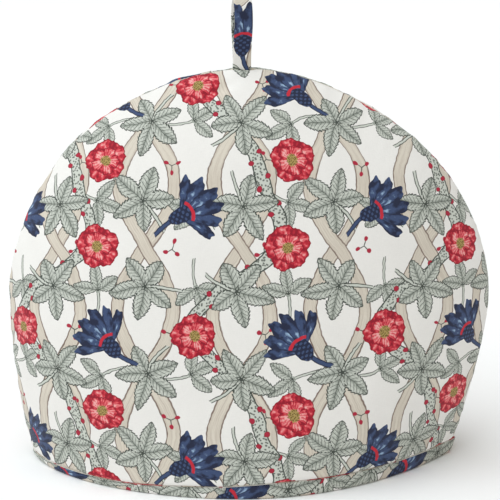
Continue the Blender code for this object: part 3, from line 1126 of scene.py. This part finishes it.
# %% Sew the loop
LOOP_THICK, LOOP_TURN, LOOP_TURN_HEIGHT = 0.0020, math.radians(12.0), 0.030
LOOP_SIDE = (
    (0.0013, -0.0060), (0.0013, 0.0020), (0.0026, 0.0090), (0.0048, 0.0180),
    (0.0062, 0.0280), (0.0058, 0.0370), (0.0034, 0.0430), (0.0, 0.0455),
)
LOOP_STEPS, LOOP_ROUND = 12, 32
# Powers below 1 that flatten an oval's ends and its faces into a strip with rounded edges
END_POWER, FACE_POWER = 0.42, 0.62
LOOP_CREASE, LOOP_CREASE_AT, LOOP_CREASE_WIDE = 0.00018, 0.36, 0.0004
LOOP_CUP, LOOP_RIPPLE = 0.00025, 0.00016
LOOP_PRINT_PLACE, LOOP_PRINT_TURN, LOOP_PRINT_MIDDLE = (0.164, 0.284), 0.75, 0.032


def smooth_line(table, steps):
    """A smooth line through the table's points, ending level at the last."""
    line = []
    last = len(table) - 1
    for k in range(last):
        p0, p1 = table[max(0, k - 1)], table[k]
        p2, p3 = table[k + 1], table[min(last, k + 2)]
        if k == last - 1:
            p3 = (-p1[0], p1[1])
        for n in range(steps):
            t = n / steps
            point = []
            for a, b, c, d in zip(p0, p1, p2, p3):
                bend = 2.0 * b + (c - a) * t + (2.0 * a - 5.0 * b + 4.0 * c - d) * t * t
                point.append(0.5 * (bend + (3.0 * b - a - 3.0 * c + d) * t**3))
            line.append(tuple(point))
    line.append(table[-1])
    return line


def make_loop():
    side = smooth_line(LOOP_SIDE, LOOP_STEPS)
    line = np.array([(-y, z) for y, z in side] + side[-2::-1])
    ahead = np.gradient(line, axis=0)
    ahead /= np.linalg.norm(ahead, axis=1)[:, None]
    normal = np.stack((-ahead[:, 1], ahead[:, 0]), axis=1)
    run = np.concatenate(([0.0], np.cumsum(np.linalg.norm(np.diff(line, axis=0), axis=1))))
    bm = bmesh.new()
    points, u, v = grid_points(bm, LOOP_ROUND, len(line) - 1)
    at = np.round(v * (len(line) - 1)).astype(int)
    turn = math.pi * u
    cos, sin = np.cos(turn), np.sin(turn)
    across = LOOP_WIDTH / 2.0 * np.sign(cos) * np.abs(cos) ** END_POWER
    out = LOOP_THICK / 2.0 * np.sign(sin) * np.abs(sin) ** FACE_POWER
    # A fold line where the strip's turned edges meet, and a slight cup
    from_crease = (across - LOOP_WIDTH * LOOP_CREASE_AT) / LOOP_CREASE_WIDE
    crease = LOOP_CREASE * np.exp(-(from_crease**2)) * np.sign(sin)
    out = out - crease - LOOP_CUP * (1.0 - (2.0 * across / LOOP_WIDTH) ** 2)
    out = out + LOOP_RIPPLE * bumps(across, run[at], 160.0, 130.0, 3.0)
    yy = line[at, 0] + out * normal[at, 0]
    zz = line[at, 1] + out * normal[at, 1]
    twist = LOOP_TURN * smooth_step(0.0, LOOP_TURN_HEIGHT, zz)
    x = across * np.cos(twist) - yy * np.sin(twist)
    y = across * np.sin(twist) + yy * np.cos(twist)
    for point, px, py, pz in zip(points, LOOP_X + x, y, HEIGHT + zz):
        point.co = (px, py, pz)
    # The strip was cut along the middle of a blue flower
    c, s = math.cos(LOOP_PRINT_TURN), math.sin(LOOP_PRINT_TURN)
    up = run[at] - LOOP_PRINT_MIDDLE
    flat_u = LOOP_PRINT_PLACE[0] + across * c - up * s
    flat_v = LOOP_PRINT_PLACE[1] + across * s + up * c
    set_cloth(bm, dict(zip(points, zip(flat_u, flat_v))))
    bmesh.ops.remove_doubles(bm, verts=bm.verts, dist=0.000005)
    bmesh.ops.holes_fill(bm, edges=[e for e in bm.edges if e.is_boundary], sides=0)
    bmesh.ops.recalc_face_normals(bm, faces=bm.faces)
    print("loop_strip faces:", len(bm.faces), "open edges:", open_edges(bm))
    print("loop_strip runs", round(float(run[-1]), 4), "m from end to end")
    return add_piece("loop_strip", bm, (printed_cotton,))


loop_strip = make_loop()

# %% [markdown]
# ## Fixing the pieces to the frame
# Each piece rides on the one body and stands for its solid, which is hidden. The table also lists the size
# of cloth each was cut from, which the loop doesn't use.

CUT_SIZES = (
    (front, "front_panel", (0.40, 0.30), 0.095),
    (back, "back_panel", (0.40, 0.30), 0.095),
    (hem_strip, "hem_band", (0.74, 0.027), None),
    (loop_strip, "hanging_loop", (0.106, 0.0135), None),
)
for piece, node, size, area in CUT_SIZES:
    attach(piece, "root")
    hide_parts(node)
    print(node, "is now", piece.name)

# %% [markdown]
